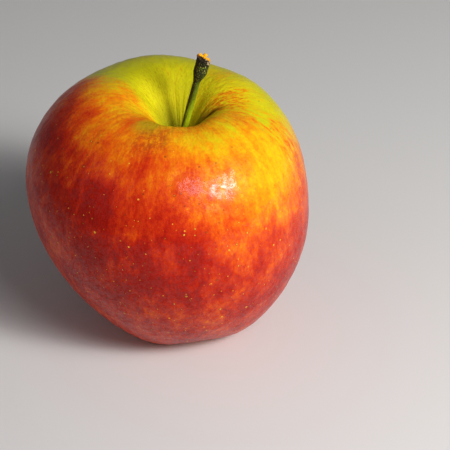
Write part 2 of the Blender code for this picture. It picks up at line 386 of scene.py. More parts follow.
def feed(shader, socket, wire):
    """Let this wire set one of the shader's sockets."""
    wire.tree.links.new(wire.socket, shader.inputs[socket])


def feed_bump(shader, height, strength, distance):
    """Let the finish stand out where the height is more, as if by this distance in metres."""
    sockets = {"Height": height, "Strength": strength, "Distance": distance}
    feed(shader, "Normal", height.add("ShaderNodeBump", (), sockets))


BLUSH_COLOURS = (
    (0.00, (0.70, 0.61, 0.006)),
    (0.12, (0.84, 0.45, 0.004)),
    (0.22, (0.86, 0.29, 0.003)),
    (0.32, (0.82, 0.175, 0.003)),
    (0.46, (0.74, 0.080, 0.003)),
    (0.62, (0.60, 0.032, 0.003)),
    (0.80, (0.46, 0.012, 0.002)),
    (1.00, (0.32, 0.006, 0.002)),
)
FLUSH_ORANGE = (0.84, 0.40, 0.004)
UNRIPE_YELLOW = (0.52, 0.56, 0.006)
CREST_GREEN = (0.50, 0.505, 0.005)
PAINTED_LIGHT_YELLOW = (0.90, 0.80, 0.006)
DIP_GREEN = (0.44, 0.44, 0.008)
CAVITY_GREEN_AND_SHADE = (0.24, 0.23, 0.008)
CREASE_PAINTED_SHADE = (0.045, 0.028, 0.004)
FAN_PAINTED_SHADE = (0.090, 0.060, 0.005)
PLEAT_OCHRE = (0.42, 0.25, 0.005)
BRUISE_RED = (0.33, 0.065, 0.006)
DUSK_TINT = (0.78, 0.42, 0.34)
BASIN_PAINTED_SHADE = (0.30, 0.24, 0.05)
RUSSET_BROWN = (0.27, 0.16, 0.045)
SPOT_OLIVE = (0.31, 0.25, 0.025)
SPOT_GOLD = (0.92, 0.45, 0.032)
SPOT_RIM = (0.10, 0.018, 0.006)
SPOT_SPACINGS_AND_SIZES = ((0.0023, 0.175), (0.0014, 0.165))
SPOT_RAGGED_SIZE = 0.0006
SPOT_RAGGED_REACH = 0.00028

waxy_skin, shader, start, where = new_finish("waxy_skin")
shader.inputs["IOR"].default_value = 1.42
shader.inputs["Specular IOR Level"].default_value = 0.11
shader.inputs["Coat Roughness"].default_value = 0.14

# East and north are the cosine and sine of the azimuth. Arc is how far along the skin a point lies from
# the inner end of the calyx's socket, and depth how far from that of the stem's, both in centimetres.
east, north, arc = point_marks(start, "skin_place")
depth = point_marks(start, "skin_depth")[0]


def facing(degrees, edge, full):
    """1 near this azimuth and 0 away from it; edge and full are cosines of the angle between."""
    turned = east * math.cos(math.radians(degrees)) + north * math.sin(math.radians(degrees))
    return turned.between(edge, full)


wander = grain(start, where, 0.010, 2.0) - 0.5


def streaks(width, length, shift, detail=3.0):
    """Noise drawn out along the meridians; width is in radians of azimuth and length in centimetres."""
    across = east / width + 2.4 * wander
    along = arc / length + shift
    drawn = start.add("ShaderNodeCombineXYZ", (), {0: across, 1: north / width + 1.7 * wander, 2: along})
    return grain(start, drawn, 1.0, detail, 0.62)


# How far up the blush reaches, as an arc: most at the front left, least at the back
reach = 8.05 + 3.3 * facing(-155, -0.10, 1.0) - 2.5 * facing(80, 0.0, 1.0)

# What breaks it up, from broad patches to hairlines, and the mottle that all of them make together
patches = grain(start, where, 0.0095, 2.0, 0.5)
blots = grain(start, where, 0.0022, 4.0, 0.72)
bands = streaks(0.085, 1.5, 3.0, 2.0)
broad_streak = streaks(0.050, 0.42, 0.0)
fine_streak = streaks(0.020, 0.17, 5.0)
hair_streak = streaks(0.009, 0.14, 11.0, 2.0)
speckle = grain(start, where, 0.0008, 3.0, 0.7)
drawn_mottle = 0.9 * bands + 0.6 * broad_streak + 0.55 * fine_streak + 0.25 * hair_streak - 1.15
calm_front = facing(-44, 0.900, 0.985) * arc.within(7.4, 8.1, 9.3, 10.0)
mottle = 1.2 * patches + 0.75 * blots + 0.55 * speckle - 1.25 + drawn_mottle * (1 - 0.6 * calm_front)

# Tone is how deep the blush is, from 0, yellow, to 1, dark red. A patch of it has the azimuth that it faces
# and how wide it is, then the arcs at which it sets in, is full, begins to fade and is gone.
tone = (reach - arc + 1.5) / 5
right_wall = facing(6, 0.94, 0.99) * arc.within(9.8, 10.3, 11.1, 11.7)
shoulder_band = facing(-13, 0.978, 0.999) * arc.within(7.6, 8.4, 9.6, 10.6)
left_lip = facing(-165, 0.80, 0.97) * arc.within(10.0, 10.8, 11.4, 11.9)
warm_lip = 0.15 * facing(-60, 0.50, 0.85) * arc.within(9.4, 9.9, 10.9, 11.6)
warm_front = 0.18 * facing(-72, 0.62, 0.95) * arc.within(8.2, 8.8, 9.8, 10.5)
tone = tone.maths("MAXIMUM", tone, warm_lip.maths("MAXIMUM", warm_lip, warm_front))
tone = tone + right_wall * (0.21 + 2.4 * (fine_streak - 0.5)) - 0.14 * left_lip
tone = tone + shoulder_band * (0.02 + 0.8 * (broad_streak - 0.5))
pale_shoulder = facing(-136, 0.900, 0.985) * arc.within(9.0, 9.6, 10.2, 10.8)
pale_flank = facing(-118, 0.9135, 0.990) * arc.within(7.9, 8.5, 9.0, 9.5)
pale_side = facing(-28, 0.906, 0.990) * arc.within(6.9, 7.6, 8.4, 9.0)
tone = tone - 0.25 * pale_shoulder - 0.18 * pale_flank - 0.10 * pale_side
flushed_front = facing(-76, 0.961, 0.996) * arc.within(8.1, 8.5, 9.2, 9.8)
flushed_shoulder = facing(-27, 0.961, 0.996) * arc.within(8.9, 9.3, 10.1, 10.6)
tone = tone + 0.10 * flushed_front + 0.07 * flushed_shoulder
tone = tone.maths("MINIMUM", tone, 0.72) + mottle * (0.24 + 0.46 * tone.kept())
dark_flank = facing(-112, 0.940, 0.990) * arc.within(5.9, 6.5, 7.2, 7.8)
dark_streak = facing(-86, 0.9930, 0.9994) * arc.within(4.6, 5.4, 7.2, 7.9)
dark_blotch = facing(-125, 0.9890, 0.9992) * arc.within(7.5, 8.0, 8.7, 9.2)
tone = tone + 0.18 * dark_flank + 0.14 * dark_streak + 0.34 * dark_blotch
tone = tone.maths("MINIMUM", tone, 0.95)
tone = tone * (0.12 + 0.88 * arc.between(1.1, 2.9))

# Over the blush's own colours lie the flush, greens and yellows of the crest and the cavity's walls,
# painted light on the cavity's left wall, painted shade deep in the cavity, on its right wall, in the
# crease and deep in the basin, the pleats, a bruise at the front lip, and russet in the basin. The number
# that comes first in a mix is how strong it is.
flesh_tone = tone.kept().ramp(BLUSH_COLOURS)
faint_flush = bands.between(0.46, 0.66) * broad_streak.between(0.44, 0.64) * depth.between(2.6, 3.8)
flesh_tone = (0.40 * faint_flush * (1 - 4 * tone).kept()).colour_mix(flesh_tone, FLUSH_ORANGE)
back_crest = facing(115, 0.0, 0.8) * arc.between(8.0, 10.8)
unripe = patches.between(0.38, 0.62) * (1 - 5 * tone).kept() * depth.between(2.6, 3.6)
flesh_tone = (0.45 * unripe).colour_mix(flesh_tone, UNRIPE_YELLOW)
flesh_tone = (0.75 * back_crest * (1 - 4 * tone).kept()).colour_mix(flesh_tone, CREST_GREEN)
# Painted light: the cavity's far left wall is brightened to a pale yellow.
painted_light_wall = facing(140, 0.3, 0.85) * depth.within(1.1, 1.6, 2.0, 2.6)
flesh_tone = (0.5 * painted_light_wall * (1 - 4 * tone).kept()).colour_mix(flesh_tone, PAINTED_LIGHT_YELLOW)
green_dip = facing(-119, 0.965, 0.999) * arc.within(10.3, 10.9, 11.1, 11.7)
flesh_tone = (1.3 * green_dip * fine_streak).kept().colour_mix(flesh_tone, DIP_GREEN)
# Deep in the cavity, on its right wall and low on its left wall the skin turns dark olive: partly its own
# green, partly painted shade.
low_wall = facing(140, 0.5, 0.9) * depth.within(0.5, 0.9, 1.3, 1.7)
shaded_wall = facing(4, 0.80, 0.98) * depth.within(0.2, 0.9, 1.5, 2.0)
deep = depth.between(1.45, 0.35)
green = ((deep + 0.5 * shaded_wall + 0.25 * low_wall) * (0.35 + 0.7 * fine_streak)).kept()
flesh_tone = green.colour_mix(flesh_tone, CAVITY_GREEN_AND_SHADE)
# Painted shade: the crease beside the stem is darkened to a near-black brown.
crease = (facing(-3, 0.9945, 0.9993) * depth.within(0.3, 0.7, 1.6, 2.2)).kept()
flesh_tone = (0.95 * crease).colour_mix(flesh_tone, CREASE_PAINTED_SHADE)
# Painted shade: a streaky dark brown fan on the cavity's right wall near the stem.
painted_fan_shade = facing(2, 0.955, 0.998) * depth.within(0.1, 0.5, 1.2, 1.8) * (0.4 + fine_streak)
flesh_tone = (0.85 * painted_fan_shade).kept().colour_mix(flesh_tone, FAN_PAINTED_SHADE)
fine_lines = fine_streak.between(0.50, 0.66) + hair_streak.between(0.55, 0.66)
pleat_line = depth.within(0.3, 0.9, 2.4, 3.1) * fine_lines
flesh_tone = (0.48 * pleat_line).kept().colour_mix(flesh_tone, PLEAT_OCHRE)
bruise_grain = (0.5 * blots + 0.5 * speckle).between(0.40, 0.60)
bruise = facing(-108, 0.960, 0.9985) * arc.within(9.6, 10.2, 10.4, 11.0) * bruise_grain
flesh_tone = (0.6 * bruise).colour_mix(flesh_tone, BRUISE_RED)
dusk = blots.between(0.53, 0.72) * (0.20 + 0.80 * tone.between(0.05, 0.4))
flesh_tone = (0.35 * dusk).colour_mix(flesh_tone, DUSK_TINT, "MULTIPLY")
# Painted shade: darker olive streaks deep in the basin round the calyx.
shade = (0.55 * (1 - arc.between(0.9, 2.2)) * (0.4 + fine_streak)).kept()
flesh_tone = shade.colour_mix(flesh_tone, BASIN_PAINTED_SHADE)
russet = arc.between(1.9, 0.5) * (0.5 * blots + 0.5 * fine_streak).between(0.46, 0.60)
flesh_tone = (0.55 * russet).colour_mix(flesh_tone, RUSSET_BROWN)

# Breathing spots: gold on the blush and dull olive on the yellow, each with its own size, larger low down,
# and some with a dark rim. They fade out over the crest, so the cavity has none.
ragged = start.add("ShaderNodeTexNoise", (), {"Vector": where, "Scale": 1 / SPOT_RAGGED_SIZE}, out=1)
ragged_where = start.add(
    "ShaderNodeVectorMath",
    {"operation": "MULTIPLY_ADD"},
    {0: ragged, 1: [SPOT_RAGGED_REACH] * 3, 2: where},
)
on_skin = arc.between(11.4, 9.8)
dot_colour = tone.between(0.05, 0.25).colour_mix(SPOT_OLIVE, SPOT_GOLD)
pale_dots = []
for spacing, size in SPOT_SPACINGS_AND_SIZES:
    cells = {"Vector": ragged_where, "Scale": 1 / spacing}
    away = start.add("ShaderNodeTexVoronoi", (), cells)
    luck = start.add("ShaderNodeTexVoronoi", (), cells, out=1).parts()
    dot_size = size * (0.42 + 0.58 * luck[0] * luck[0]) * (0.75 + 0.35 * arc.between(10.5, 6.0))
    dot = (dot_size - away).between(0.0, 0.06) * on_skin * luck[1].between(0.15, 0.55)
    beside = (dot_size + 0.09 - away).between(0.0, 0.08) * luck[2].between(0.55, 0.9) * on_skin
    flesh_tone = (0.5 * beside * tone.between(0.02, 0.3)).colour_mix(flesh_tone, SPOT_RIM)
    flesh_tone = (0.9 * dot).kept().colour_mix(flesh_tone, dot_colour)
    pale_dots.append(dot)
pale_dot = sum(pale_dots)
feed(shader, "Base Color", flesh_tone)

# The wax is dull in both hollows. On the rest of the skin a fine bloom breaks up its gloss.
in_cavity = depth.between(3.2, 2.0)
in_basin = arc.between(2.4, 1.2)
wax = 0.26 + 0.14 * patches + 0.12 * speckle + 0.15 * pale_dot + 0.25 * in_cavity + 0.28 * in_basin
feed(shader, "Roughness", wax)
pores = grain(start, where, 0.0007, 2.0, 0.6)
bloom = (0.6 * grain(start, where, 0.0011, 3.0, 0.7) + 0.4 * pores).between(0.42, 0.56)
feed(shader, "Coat Weight", (0.05 + 0.37 * bloom) * (1 - in_cavity) * (1 - 0.85 * in_basin))
height = 1.6 * pores + 0.5 * speckle + 0.35 * hair_streak + 0.5 * pale_dot + 1.0 * in_cavity * fine_streak
feed_bump(shader, height, 0.8, 0.00012)
skin.data.materials.append(waxy_skin)
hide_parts("fruit")
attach(skin, "root")

# The stalk
# The stem that the fruit hung by: green living bark low down, brown and warty towards the swollen knob
# where it broke from its spur. It stands in the socket at the bottom of the cavity.
STEM_GAP = 0.0003
STEM_ROOT_RADIUS = 0.0015
STEM_WAIST_RADIUS = 0.00094
STEM_KNOB_RADIUS = 0.00178
STEM_PATH = ((0.0, 0.0), (0.0019, 0.0001), (0.0048, 0.0004), (0.0070, 0.0006))
STEM_TOP_HEIGHT = 0.0802
STEM_SLANT = 0.3
KNOB_SHIFT = 0.00028
STALK_SIDES = 132
STALK_STEPS = 400
END_STEPS = 20
LOOK_AHEAD = 0.01
DISH_DEPTH = 0.00045
DISH_LIP = 0.35
FLUTES = 3
FLUTE_DEPTH = 0.06
FLUTE_TWIST = 5
RIDGE_HEIGHT = 0.00007
FINE_RIDGE_SHARE = 0.7
WART_HEIGHT = 0.00016
FINE_WART_SHARE = 0.4

# How fast a pattern of the bark changes round the stalk and along it, and its shift along
RIDGE_RATES = (2.6, 5, 0)
FINE_RIDGE_RATES = (5.5, 26, 3)
WART_RATES = (3.6, 62, 9)
FINE_WART_RATES = (9, 150, 5)

# Where a feature is absent and where it is full, as shares of the stalk's length
ROOT_SPAN = (0.28, 0.08)
RIDGE_SPAN = (0.10, 0.25)
FLUTE_SPAN = (0.15, 0.4)
WART_SPAN = (0.70, 0.86)
KNOB_SPAN = (0.77, 0.88)
SLANT_SPAN = (0.88, 1.0)

foot = CREST_HEIGHT - CAVITY_DEPTH - FOOT_CUT - STEM_SOCKET_DEPTH + STEM_GAP
stalk_path = [
    CORE + Vector((x, y, foot + (STEM_TOP_HEIGHT - foot) * k / 3))
    for k, (x, y) in enumerate(STEM_PATH)
]


def stalk_station(share):
    """The middle of the stalk at a share of its length, the three axes there, and its radius."""
    centre = Vector(bezier(stalk_path, share))
    along = (Vector(bezier(stalk_path, share + LOOK_AHEAD)) - centre).normalized()
    right = (Vector((1, 0, 0)) - along * along.x).normalized()
    root = (STEM_ROOT_RADIUS - STEM_WAIST_RADIUS) * smooth_step(share, *ROOT_SPAN)
    knob = smooth_step(share, *KNOB_SPAN)
    radius = STEM_WAIST_RADIUS + root + (STEM_KNOB_RADIUS - STEM_WAIST_RADIUS) * knob
    return centre + right * KNOB_SHIFT * knob, along, right, along.cross(right), radius


def bark(turn, share):
    """How far the bark stands out: fine ridges along the stalk, and crowded warts on the knob."""
    around = (math.cos(turn), math.sin(turn))
    ridges = noise.noise(pattern_place(around, share, RIDGE_RATES))
    ridges += FINE_RIDGE_SHARE * noise.noise(pattern_place(around, share, FINE_RIDGE_RATES))
    warts = 0.5 - noise.voronoi(pattern_place(around, share, WART_RATES))[0][0]
    warts += FINE_WART_SHARE * noise.noise(pattern_place(around, share, FINE_WART_RATES))
    out_of_socket = smooth_step(share, *RIDGE_SPAN)
    on_knob = smooth_step(share, *WART_SPAN)
    return out_of_socket * RIDGE_HEIGHT * ridges + on_knob * WART_HEIGHT * warts


rings = []
places = [(0, 0, 0)]
for step in range(STALK_STEPS + 1):
    share = step / STALK_STEPS
    centre, along, right, back, radius = stalk_station(share)
    slant = STEM_SLANT * smooth_step(share, *SLANT_SPAN)
    fluting = FLUTE_DEPTH * smooth_step(share, *FLUTE_SPAN)
    ring = []
    for j in range(STALK_SIDES):
        turn = math.tau * j / STALK_SIDES
        fluted = radius * (1 + fluting * math.cos(FLUTES * turn + FLUTE_TWIST * share))
        across = math.cos(turn) * right + math.sin(turn) * back
        drop = slant * radius * math.cos(turn)
        ring.append(centre + across * (fluted + bark(turn, share)) - along * drop)
        places.append((math.cos(turn), math.sin(turn), share))
    rings.append(ring)
rim_ring = rings[-1]
rim_middle = sum(rim_ring, Vector()) / STALK_SIDES
for step in range(1, END_STEPS):
    inward = step / END_STEPS
    dish = along * DISH_DEPTH * (DISH_LIP * math.sin(math.pi * inward) - inward * inward)
    rings.append([point.lerp(rim_middle, inward) + dish for point in rim_ring])
    places += places[-STALK_SIDES:]
stalk = solid_from_rings("stem_stalk", stalk_path[0], rings, rim_middle - along * DISH_DEPTH)
mark_points(stalk, "stalk_place", [*places, (0, 0, 1)])

BARK_COLOURS = (
    (0.00, (0.52, 0.62, 0.007)),
    (0.36, (0.44, 0.56, 0.007)),
    (0.55, (0.25, 0.35, 0.007)),
    (0.68, (0.12, 0.17, 0.007)),
    (0.80, (0.040, 0.050, 0.006)),
    (0.90, (0.018, 0.020, 0.006)),
    (1.00, (0.010, 0.009, 0.005)),
)
SIDE_BROWN_AND_SHADE = (0.028, 0.018, 0.006)
RUSTY_FLECK = (0.10, 0.045, 0.012)
GREEN_FLECK = (0.21, 0.30, 0.02)
STRAW_FLECK = (0.62, 0.56, 0.14)
FIBRE_WIDTH = 0.30
FIBRES_ALONG = 14
WART_SPACING = 0.00050

green_bark, shader, start, where = new_finish("green_bark")
shader.inputs["Specular IOR Level"].default_value = 0.16
right_side, back_side, share = point_marks(start, "stalk_place")
strands = {0: right_side / FIBRE_WIDTH, 1: back_side / FIBRE_WIDTH, 2: share * FIBRES_ALONG}
fibre = grain(start, start.add("ShaderNodeCombineXYZ", (), strands), 1.0, 3.0, 0.6)
fleck = grain(start, where, 0.00042, 3.0, 0.65)
blotch = grain(start, where, 0.0016, 2.0, 0.6)

# The bark grows browner towards the knob, and is darker and browner on the left side, there partly as
# painted shade, with flecks of rust halfway up, and the warts of the knob have pale tops
age = share + 0.20 * (blotch - 0.5) + 0.10 * (fibre - 0.5) - 0.06 * right_side
bark_colour = age.kept().ramp(BARK_COLOURS)
# The left side, away from the key light, is dark brown: partly the bark's own brown, partly painted shade.
brown = (0.05 - right_side + 1.8 * (fibre - 0.5)).between(0.1, 0.8)
bark_colour = (0.9 * brown).colour_mix(bark_colour, SIDE_BROWN_AND_SHADE)
brown_fleck = fleck.between(0.56, 0.66) * share.within(0.25, 0.45, 0.75, 0.85)
bark_colour = (0.6 * brown_fleck).colour_mix(bark_colour, RUSTY_FLECK)
warts = {"Vector": where, "Scale": 1 / WART_SPACING}
wart_luck = start.add("ShaderNodeTexVoronoi", (), warts, out=1).parts()[0]
wart_top = start.add("ShaderNodeTexVoronoi", (), warts).between(0.46, 0.24) * wart_luck.between(0.25, 0.60)
on_knob = share.within(0.64, 0.80, 0.97, 0.995) * right_side.between(-1.3, -0.2)
pale_fleck = (wart_top + 0.5 * fleck.between(0.56, 0.62)).kept() * on_knob
fleck_colour = blotch.between(0.42, 0.60).colour_mix(GREEN_FLECK, STRAW_FLECK)
bark_colour = (0.85 * pale_fleck).colour_mix(bark_colour, fleck_colour)
feed(shader, "Base Color", bark_colour)
feed(shader, "Roughness", 0.50 + 0.25 * share.between(0.55, 0.85) + 0.2 * (fleck - 0.5))
feed_bump(shader, 0.6 * fibre + 0.8 * fleck, 0.8, 0.00008)
stalk.data.materials.append(green_bark)
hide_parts("stem")
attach(stalk, "root")

# The break
# Cork that the tree grew over the joint before the fruit let go: golden lobes round the far and right
# side of the stalk's end, greyer crumbs at the near side, and painted shade that darkens the low places
# between and inside them to near black.
MILLI = 0.001
GOLDEN_TURN = math.radians(137.5)

# A lobe's place to the right and to the back of the stalk's middle, its lift off the slanted end and its
# size, in millimetres, then how golden and how cream it is
LOBES_OF_CORK = (
    (-1.10, 1.02, 0.30, 0.42, 1.0, 0.0),
    (-1.62, 0.40, 0.05, 0.33, 0.35, 0.0),
    (0.32, 1.45, 0.62, 0.50, 1.0, 0.0),
    (-0.50, 1.05, 0.20, 0.30, 1.0, 0.0),
    (0.10, 0.85, 0.15, 0.30, 0.9, 0.0),
    (0.68, 0.72, 0.22, 0.32, 1.0, 0.0),
    (1.15, 0.75, 0.25, 0.38, 1.0, 0.0),
    (1.58, 0.45, 0.15, 0.34, 0.9, 0.0),
    (0.60, 0.00, 0.00, 0.22, 0.0, 1.0),
    (1.68, -0.10, -0.02, 0.28, 0.1, 1.0),
    (1.15, -1.22, -0.28, 0.42, 0.25, 0.9),
    (0.30, -1.50, -0.10, 0.26, 0.0, 0.1),
    (-0.50, -1.40, -0.05, 0.24, 0.0, 0.0),
    (-1.15, -1.05, -0.05, 0.26, 0.0, 0.1),
    (-1.55, -0.40, -0.05, 0.28, 0.1, 0.0),
)
CRUMBS = 20
CRUMB_SIZES = (0.13, 0.22)
CRUMB_LIFT = -0.12
CRUMB_SEED = 5
BREAK_REACH = 0.86
LUMP_STRETCH = (1.0, 1.2, 0.95, 1.0)
LUMP_SUBDIVISIONS = 3
BASE_LIFT = -0.32
BASE_STRETCH = (1, 1, 0.22, 1)
CORK_VOXEL = 0.055
GRIT_RATES_AND_HEIGHTS = ((4.0, 0.11), (12.0, 0.03))


def lump(x, y, lift, size, gold, cream):
    """A lump of cork: its place on the slanted end, its size, and how golden and how cream it is."""
    return (x, y, lift - STEM_SLANT * x), size, gold, cream


centre, along, right, back, radius = stalk_station(1.0)
reach_of_break = BREAK_REACH * radius / MILLI
draw = random.Random(CRUMB_SEED)
lumps = [lump(*lobe) for lobe in LOBES_OF_CORK]
for k in range(CRUMBS):
    turn = k * GOLDEN_TURN
    out = reach_of_break * math.sqrt((k + 0.5) / CRUMBS)
    size = draw.uniform(*CRUMB_SIZES)
    lumps.append(lump(out * math.cos(turn), out * math.sin(turn), CRUMB_LIFT, size, 0.0, 0.0))
shapes = []
for place, size, gold, cream in lumps:
    turned = Matrix.Translation(place) @ Matrix.Rotation(math.atan2(place[1], place[0]), 4, "Z")
    shapes.append((turned @ Matrix.Diagonal(LUMP_STRETCH), size))
shapes.append((Matrix.Translation((0, 0, BASE_LIFT)) @ Matrix.Diagonal(BASE_STRETCH), reach_of_break))
cork_mesh = bmesh.new()
for stretched, size in shapes:
    bmesh.ops.create_icosphere(cork_mesh, subdivisions=LUMP_SUBDIVISIONS, radius=size, matrix=stretched)
rough_mesh = bpy.data.meshes.new("rough_cork")
cork_mesh.to_mesh(rough_mesh)
cork_mesh.free()
rough_cork = placed("rough_cork", rough_mesh)
remesh = rough_cork.modifiers.new("one_skin", "REMESH")
remesh.mode = "VOXEL"
remesh.voxel_size = CORK_VOXEL
remeshed = rough_cork.evaluated_get(bpy.context.evaluated_depsgraph_get())
cork_surface = bpy.data.meshes.new_from_object(remeshed)
bpy.data.objects.remove(rough_cork)
cork_surface.name = "stem_break"
cork_surface.shade_smooth()
normals = [vertex.normal.copy() for vertex in cork_surface.vertices]
kinds = []
for vertex, normal in zip(cork_surface.vertices, normals):
    grit = sum(noise.noise(vertex.co * rate) * height for rate, height in GRIT_RATES_AND_HEIGHTS)
    point = vertex.co + normal * grit
    nearest = min((math.dist(point, place) - size, gold, cream) for place, size, gold, cream in lumps)
    kinds.append((nearest[1], nearest[2], point.z + STEM_SLANT * point.x))
    vertex.co = centre + (right * point.x + back * point.y + along * point.z) * MILLI
cork = placed("stem_break", cork_surface)
mark_points(cork, "cork_kind", kinds)

CORK_COLOURS = (
    (0.00, (0.030, 0.022, 0.012)),
    (0.35, (0.22, 0.070, 0.014)),
    (0.80, (0.82, 0.36, 0.008)),
    (1.00, (0.96, 0.50, 0.008)),
)
CORK_CREAM = (0.46, 0.36, 0.20)
CORK_TINT = (0.90, 0.62, 0.40)
HOLLOW_PAINTED_SHADE = (0.012, 0.008, 0.006)

corky_break, shader, start, where = new_finish("corky_break")
shader.inputs["Specular IOR Level"].default_value = 0.20
gold, cream, height = point_marks(start, "cork_kind")
fleck = grain(start, where, 0.00040, 3.0, 0.65)
cork_colour = gold.ramp(CORK_COLOURS)
cork_colour = (cream * (0.6 + 0.8 * fleck)).kept().colour_mix(cork_colour, CORK_CREAM)
cork_colour = (1.2 * fleck - 0.35).kept().colour_mix(cork_colour, CORK_TINT, "MULTIPLY")
# Painted shade: the lower a point lies on the break, the nearer to black its colour.
raised = (height + 0.4 * (fleck - 0.5) + 0.3 * cream).between(-0.12, 0.16)
cork_colour = raised.colour_mix(HOLLOW_PAINTED_SHADE, cork_colour)
feed(shader, "Base Color", cork_colour)
feed(shader, "Roughness", 0.55 + 0.4 * fleck)
feed_bump(shader, fleck, 0.7, 0.00008)
cork.data.materials.append(corky_break)
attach(cork, "root")

# The calyx
# What is left of the blossom: a short cup that stands in its socket in the basin, open below, and five
# dried woolly sepals that hang from it and curl outwards.
CALYX_RADIUS = 0.0019
CUP_HEIGHT = 0.0032
CUP_WALL = 0.0007
CUP_EDGE = 0.0002
CUP_SIDES = 60
CUP_WOBBLE = 0.05
WOBBLE_RATES = (3, 900, 0)
SEPALS = 5
SEPAL_WIDTH = 0.0030
SEPAL_WIDTH_SHARES = (0.9, 1.1)
SEPAL_TAPER = 1.6
SEPAL_THICKNESS = 0.00050
SEPAL_TURN = math.radians(9)
SEPAL_LEAN = (-0.0003, 0.0008)
SEPAL_TWIST = 0.0005
SEPAL_ARCH = 0.30
SEPAL_RAGGEDNESS = 0.22
SEPAL_CRUMPLE = 0.00016
SEPAL_STEPS = 46
SEPAL_SIDES = 32
SEPAL_LOOK_AHEAD = 0.02
VEIN_DEPTH = 0.00010
VEIN_WIDTH = 0.14
CALYX_SEED = 3

# A sepal's curve: how far out each point lies, how far above the basin's floor, and if it leans
SEPAL_PATH = (
    (0.0013, 0.0012, 0),
    (0.0016, -0.0040, 0),
    (0.0022, -0.0056, 1),
    (0.0050, -0.0036, 1),
)

basin_floor = BASIN_DEPTH - FOOT_CUT
cup_top = basin_floor + CALYX_SOCKET_DEPTH - STEM_GAP
cup_profile = (
    (CALYX_RADIUS - CUP_WALL, cup_top - CUP_WALL),
    (CALYX_RADIUS - CUP_WALL, cup_top - CUP_HEIGHT + CUP_EDGE),
    (CALYX_RADIUS - CUP_WALL / 2, cup_top - CUP_HEIGHT),
    (CALYX_RADIUS, cup_top - CUP_HEIGHT + CUP_EDGE),
    (CALYX_RADIUS, cup_top),
)
rings = []
for radius, height in cup_profile:
    ring = []
    for j in range(CUP_SIDES):
        turn = math.tau * j / CUP_SIDES
        around = (math.cos(turn), math.sin(turn))
        wall = radius * (1 + CUP_WOBBLE * noise.noise(pattern_place(around, height, WOBBLE_RATES)))
        ring.append(CORE + Vector((wall * around[0], wall * around[1], height)))
    rings.append(ring)
bottom = CORE + Vector((0, 0, rings[0][0].z))
top = CORE + Vector((0, 0, cup_top))
cup = solid_from_rings("calyx_cup", bottom, rings, top)

draw = random.Random(CALYX_SEED)
dried_parts = [cup]
for k in range(SEPALS):
    azimuth = SEPAL_TURN + math.tau * k / SEPALS
    width = SEPAL_WIDTH * draw.uniform(*SEPAL_WIDTH_SHARES)
    lean = draw.uniform(*SEPAL_LEAN)
    sepal_path = [(out + leans * lean, basin_floor + rise) for out, rise, leans in SEPAL_PATH]
    outward = Vector((math.cos(azimuth), math.sin(azimuth), 0))
    sideways = Vector((-math.sin(azimuth), math.cos(azimuth), 0))
    rings = []
    # Each pattern of noise is read at places of the sepal's own, by its number
    for step in range(SEPAL_STEPS):
        share = step / SEPAL_STEPS
        radius, height = bezier(sepal_path, share)
        next_radius, next_height = bezier(sepal_path, share + SEPAL_LOOK_AHEAD)
        run = (outward * (next_radius - radius) + Vector((0, 0, next_height - height))).normalized()
        normal = sideways.cross(run)
        twist = SEPAL_TWIST * share * noise.noise(Vector((k * 5, share * 2, 1)))
        middle = CORE + outward * radius + Vector((0, 0, height)) + sideways * twist
        edge = 1 + SEPAL_RAGGEDNESS * noise.noise(Vector((k * 3, share * 9, 4)))
        half = width / 2 * (1 - share ** SEPAL_TAPER) * edge
        ring = []
        for j in range(SEPAL_SIDES):
            turn = math.tau * j / SEPAL_SIDES
            across = math.cos(turn)
            arch = SEPAL_ARCH * half * (1 - across * across)
            crumple = SEPAL_CRUMPLE * noise.noise(Vector((across * 2.2 + k * 7, share * 8, 2)))
            vein = VEIN_DEPTH * math.exp(-(across / VEIN_WIDTH) ** 2) * (turn > math.pi)
            lift = SEPAL_THICKNESS / 2 * math.sin(turn) - arch + crumple - vein
            ring.append(middle + sideways * half * across + normal * lift)
        rings.append(ring)
    tip_radius, tip_height = bezier(sepal_path, 1.0)
    tip = CORE + outward * tip_radius + Vector((0, 0, tip_height))
    root = sum(rings[0], Vector()) / SEPAL_SIDES
    dried_parts.append(solid_from_rings("calyx_sepal_%d" % (k + 1), root, rings, tip))

DRY_BROWN = (0.055, 0.030, 0.014)
DRY_TAN = (0.17, 0.105, 0.050)
WOOL_GREY = (0.36, 0.29, 0.19)

dried_sepal, shader, start, where = new_finish("dried_sepal")
shader.inputs["IOR"].default_value = 1.35
wool = grain(start, where, 0.00022, 3.0, 0.7)
stain = grain(start, where, 0.0012, 2.0, 0.6)
dry_colour = stain.between(0.38, 0.62).colour_mix(DRY_BROWN, DRY_TAN)
dry_colour = (0.7 * wool.between(0.50, 0.68)).colour_mix(dry_colour, WOOL_GREY)
feed(shader, "Base Color", dry_colour)
feed(shader, "Roughness", 0.80 + 0.2 * wool)
feed_bump(shader, wool, 0.9, 0.00010)
for part in dried_parts:
    part.data.materials.append(dried_sepal)
    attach(part, "root")
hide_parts("calyx")

# The stamens
# The withered threads of the blossom, each with its shrunken head, in a tuft in the mouth of the cup.
STAMENS = 16
STAMEN_SIDES = 8
STAMEN_STEPS = 18
STAMEN_RADIUS = 0.00010
STAMEN_TAPER = 0.4
STAMEN_ROOT_SPREAD = 0.0009
STAMEN_ROOT_RISE = 0.0012
STAMEN_SPLAY = (0.0010, 0.0021)
STAMEN_HANG = (0.0016, 0.0034)
STAMEN_SWAY = 0.0005
STAMEN_ROOT_PULL = 0.0012
STAMEN_TIP_PULL = 0.0008
HEAD_RADIUS = 0.00023
HEAD_SHARE = 0.90
HEAD_LENGTH = 0.06
THREAD_BROWN = (0.030, 0.016, 0.008)
THREAD_TAN = (0.16, 0.085, 0.030)
STAMEN_SEED = 8

